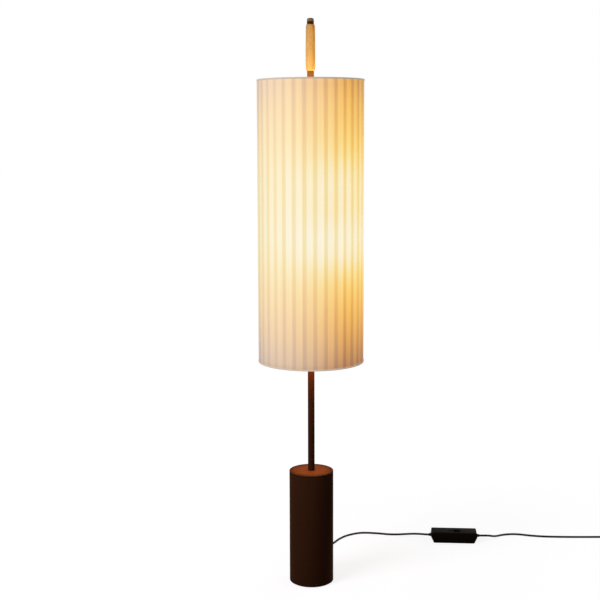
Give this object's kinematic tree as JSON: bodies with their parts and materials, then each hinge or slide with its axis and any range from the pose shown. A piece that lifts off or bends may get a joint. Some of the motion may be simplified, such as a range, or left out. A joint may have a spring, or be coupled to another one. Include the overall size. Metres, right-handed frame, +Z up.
{
  "type": "ribbon-shade floor lamp",
  "caption": "Tall floor lamp: a glowing cylinder shade of overlapping vertical ribbons on a dark rod, with a weighted cylinder base, a wooden carrying grip and an inline slide dimmer.",
  "frame": {"origin": "centre of the base's underside, on the floor", "axes": "+Z up along the rod; +Y towards the back, where the lead leaves the base; +X to the right, where the lead runs"},
  "size_m": [1.1369, 0.647, 1.501],
  "materials": {
    "brown_metal": "satin dark brown paint",
    "felt": "pressed felt",
    "ballast_iron": "rough casting",
    "steel": "zinc plated",
    "brass": "turned",
    "grip_wood": "turned, clear matt lacquer",
    "holder_plastic": "moulded",
    "opal_glass": "opal",
    "ribbon": "woven ribbon on a thin stiffener",
    "hem_tape": "woven tape",
    "black_plastic": "moulded, fine grain",
    "black_rubber": "moulded",
    "lead_sheath": "smooth sheath",
    "circuit_board": "lacquered"
  },
  "bodies": {
    "lamp": {"floor_pad": "felt", "base_bottom_plate": "brown_metal", "base_tube": "brown_metal", "base_top_disc": "brown_metal", "ballast_weight": "ballast_iron", "tie_rods": "steel", "tie_rod_nuts": "steel", "rod_nipple": "brass", "nipple_washer": "steel", "nipple_nut": "steel", "rod": "brown_metal", "rod_cap": "brown_metal", "wooden_grip": "grip_wood", "lamp_arm": "brown_metal", "holder_nipples": "brass", "upper_lampholder": "holder_plastic", "lower_lampholder": "holder_plastic", "holder_sleeves": "brass", "upper_bulb_cap": "steel", "lower_bulb_cap": "steel", "upper_bulb_globe": "opal_glass", "lower_bulb_globe": "opal_glass", "shade_top_ring": "steel", "shade_bottom_ring": "steel", "shade_top_spider": "steel", "shade_bottom_spider": "steel", "shade_collars": "steel", "grub_screws": "steel", "shade_ribbons": "ribbon", "shade_top_hem": "hem_tape", "shade_bottom_hem": "hem_tape", "cord_gland": "black_plastic", "gland_nut": "black_plastic", "inner_lead": "lead_sheath", "cord_to_dimmer": "lead_sheath", "dimmer_lower_shell": "black_plastic", "dimmer_upper_shell": "black_plastic", "dimmer_board": "circuit_board", "dimmer_screws": "steel", "dimmer_sleeves": "black_rubber", "cord_to_coil": "lead_sheath", "cord_coil": "lead_sheath", "cord_tie": "black_rubber", "cord_to_plug": "lead_sheath", "plug_relief": "black_rubber", "plug_body": "black_plastic", "plug_pins": "brass"},
    "slider": {"dimmer_slider": "black_plastic"}
  },
  "joints": [
    {"name": "dimmer_slide", "type": "slide", "parent": "lamp", "child": "slider", "axis": [0.9976, -0.0698, 0], "range_m": [-0.024, 0.006]}
  ]
}
